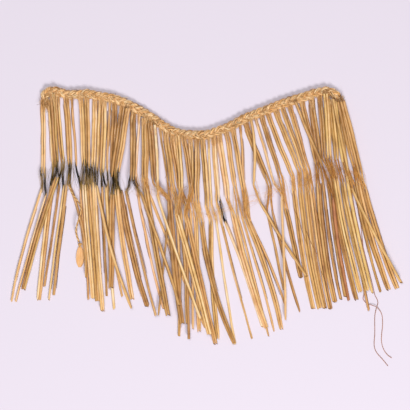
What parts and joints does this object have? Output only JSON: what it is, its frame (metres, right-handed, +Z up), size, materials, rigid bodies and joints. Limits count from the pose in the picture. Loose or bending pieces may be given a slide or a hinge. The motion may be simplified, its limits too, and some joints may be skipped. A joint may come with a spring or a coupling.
{
  "type": "rolled flax strand skirt",
  "caption": "Grass skirt laid flat: rolled leaf strands, bared to fibre half way down, hang from a plaited waistband with thin ties at its ends.",
  "frame": {"origin": "on the surface the skirt lies on, under the middle of the skirt's box, its ties left out", "axes": "+X to the picture's right along the width, +Y from the strand tips towards the waistband, +Z up off the surface"},
  "size_m": [0.6258, 0.4474, 0.019],
  "materials": {
    "rolled_leaf": "dried flax leaf rolled into tubes, straw gold with brown streaks, low satin sheen",
    "plaited_fibre": "three-strand plait of raw flax fibre, warm straw, matt and hairy",
    "bare_fibre": "scraped flax fibre, tan to red brown, fine loose hairs",
    "dyed_fibre": "scraped flax fibre dyed black with mud and bark, dull",
    "leaf_tab": "flattened dry leaf, orange tan, matt",
    "gold_twine": "two-ply twisted flax fibre, golden tan with dark twist lines",
    "twine": "two-ply twisted plant fibre, reddish brown, matt"
  },
  "bodies": {
    "root": {"strand_01": "rolled_leaf", "strand_02": "rolled_leaf", "strand_03": "rolled_leaf", "strand_04": "rolled_leaf", "strand_05": "rolled_leaf", "strand_06": "rolled_leaf", "strand_07": "rolled_leaf", "strand_08": "rolled_leaf", "strand_09": "rolled_leaf", "strand_10": "rolled_leaf", "strand_11": "rolled_leaf", "strand_12": "rolled_leaf", "strand_13": "rolled_leaf", "strand_14": "rolled_leaf", "strand_15": "rolled_leaf", "strand_16": "rolled_leaf", "strand_17": "rolled_leaf", "strand_18": "rolled_leaf", "strand_19": "rolled_leaf", "strand_20": "rolled_leaf", "strand_21": "rolled_leaf", "strand_22": "rolled_leaf", "strand_23": "rolled_leaf", "strand_24": "rolled_leaf", "strand_25": "rolled_leaf", "strand_26": "rolled_leaf", "strand_27": "rolled_leaf", "strand_28": "rolled_leaf", "strand_29": "rolled_leaf", "strand_30": "rolled_leaf", "strand_31": "rolled_leaf", "strand_32": "rolled_leaf", "strand_33": "rolled_leaf", "strand_34": "rolled_leaf", "strand_35": "rolled_leaf", "strand_36": "rolled_leaf", "strand_37": "rolled_leaf", "strand_38": "rolled_leaf", "strand_39": "rolled_leaf", "strand_40": "rolled_leaf", "strand_41": "rolled_leaf", "strand_42": "rolled_leaf", "strand_43": "rolled_leaf", "strand_44": "rolled_leaf", "strand_45": "rolled_leaf", "strand_46": "rolled_leaf", "strand_47": "rolled_leaf", "strand_48": "rolled_leaf", "strand_49": "rolled_leaf", "strand_50": "rolled_leaf", "strand_51": "rolled_leaf", "strand_52": "rolled_leaf", "strand_53": "rolled_leaf", "strand_54": "rolled_leaf", "tie_cord": "gold_twine", "tie_knot_tab": "leaf_tab", "tie_string_a": "twine", "tie_string_b": "twine", "waistband": "plaited_fibre"}
  },
  "joints": []
}
